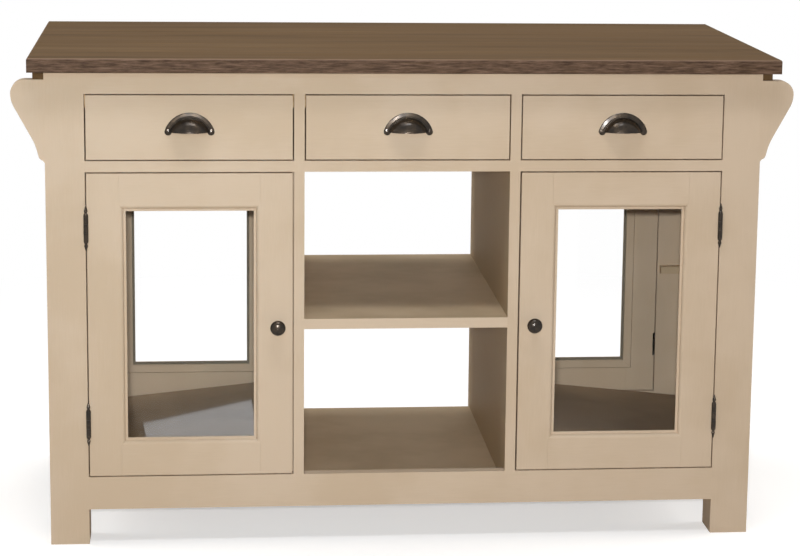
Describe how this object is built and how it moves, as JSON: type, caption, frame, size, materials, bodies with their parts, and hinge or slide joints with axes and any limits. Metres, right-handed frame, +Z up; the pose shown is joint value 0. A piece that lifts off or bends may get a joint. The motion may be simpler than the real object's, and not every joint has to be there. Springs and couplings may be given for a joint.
{
  "type": "kitchen island unit",
  "caption": "Freestanding painted kitchen island with timber top, drawers, open shelf bay, glazed doors front and rear, and towel rails at the ends.",
  "frame": {"origin": "on the floor at the middle of the plan", "axes": "+X along the worktop towards the right, +Y from the drawer side towards the rear, +Z up"},
  "size_m": [1.418, 0.68, 0.9],
  "materials": {
    "paint": "satin paint",
    "inside": "satin paint",
    "stain": "brown stain and satin oil",
    "pine": "bare planed wood",
    "bronze": "dark antique patina",
    "glass": "clear"
  },
  "bodies": {
    "carcass": {"worktop": "stain", "end_battens": "stain", "worktop_blocks": "pine", "front_posts": "paint", "rear_posts": "paint", "top_rails": "paint", "mid_rails": "paint", "bottom_rails": "paint", "dividers": "paint", "end_rails": "paint", "end_panels": "paint", "bottom_board": "inside", "centre_shelf": "inside", "loose_shelves": "inside", "drawer_decks": "inside", "drawer_runners": "pine", "drawer_stops": "pine", "rear_fascia": "paint", "shelf_cleats": "inside", "door_stops": "inside", "door_catches": "bronze", "brackets": "paint", "towel_rails": "stain", "hinge_post_leaves": "bronze", "hinge_pins": "bronze"},
    "left_drawer": {"left_drawer_front": "paint", "left_drawer_sides": "pine", "left_drawer_back": "pine", "left_drawer_bottom": "pine", "left_drawer_handle": "bronze"},
    "centre_drawer": {"centre_drawer_front": "paint", "centre_drawer_sides": "pine", "centre_drawer_back": "pine", "centre_drawer_bottom": "pine", "centre_drawer_handle": "bronze"},
    "right_drawer": {"right_drawer_front": "paint", "right_drawer_sides": "pine", "right_drawer_back": "pine", "right_drawer_bottom": "pine", "right_drawer_handle": "bronze"},
    "front_left_door": {"front_left_door_frame": "paint", "front_left_door_glass": "glass", "front_left_door_beads": "paint", "front_left_door_knob": "bronze", "front_left_hinge_leaves": "bronze"},
    "front_right_door": {"front_right_door_frame": "paint", "front_right_door_glass": "glass", "front_right_door_beads": "paint", "front_right_door_knob": "bronze", "front_right_hinge_leaves": "bronze"},
    "rear_left_door": {"rear_left_door_frame": "paint", "rear_left_door_glass": "glass", "rear_left_door_beads": "paint", "rear_left_door_knob": "bronze", "rear_left_hinge_leaves": "bronze"},
    "rear_right_door": {"rear_right_door_frame": "paint", "rear_right_door_glass": "glass", "rear_right_door_beads": "paint", "rear_right_door_knob": "bronze", "rear_right_hinge_leaves": "bronze"}
  },
  "joints": [
    {"name": "left_drawer_slide", "type": "slide", "parent": "carcass", "child": "left_drawer", "axis": [0, -1, 0], "range_m": [0, 0.38]},
    {"name": "centre_drawer_slide", "type": "slide", "parent": "carcass", "child": "centre_drawer", "axis": [0, -1, 0], "range_m": [0, 0.38]},
    {"name": "right_drawer_slide", "type": "slide", "parent": "carcass", "child": "right_drawer", "axis": [0, -1, 0], "range_m": [0, 0.38]},
    {"name": "front_left_door_hinge", "type": "hinge", "parent": "carcass", "child": "front_left_door", "pos_m": [-0.5788, -0.315, 0.41], "axis": [0, 0, -1], "range_deg": [0, 165]},
    {"name": "front_right_door_hinge", "type": "hinge", "parent": "carcass", "child": "front_right_door", "pos_m": [0.5788, -0.315, 0.41], "axis": [0, 0, 1], "range_deg": [0, 165]},
    {"name": "rear_left_door_hinge", "type": "hinge", "parent": "carcass", "child": "rear_left_door", "pos_m": [-0.5788, 0.315, 0.41], "axis": [0, 0, 1], "range_deg": [0, 165]},
    {"name": "rear_right_door_hinge", "type": "hinge", "parent": "carcass", "child": "rear_right_door", "pos_m": [0.5788, 0.315, 0.41], "axis": [0, 0, -1], "range_deg": [0, 165]}
  ]
}
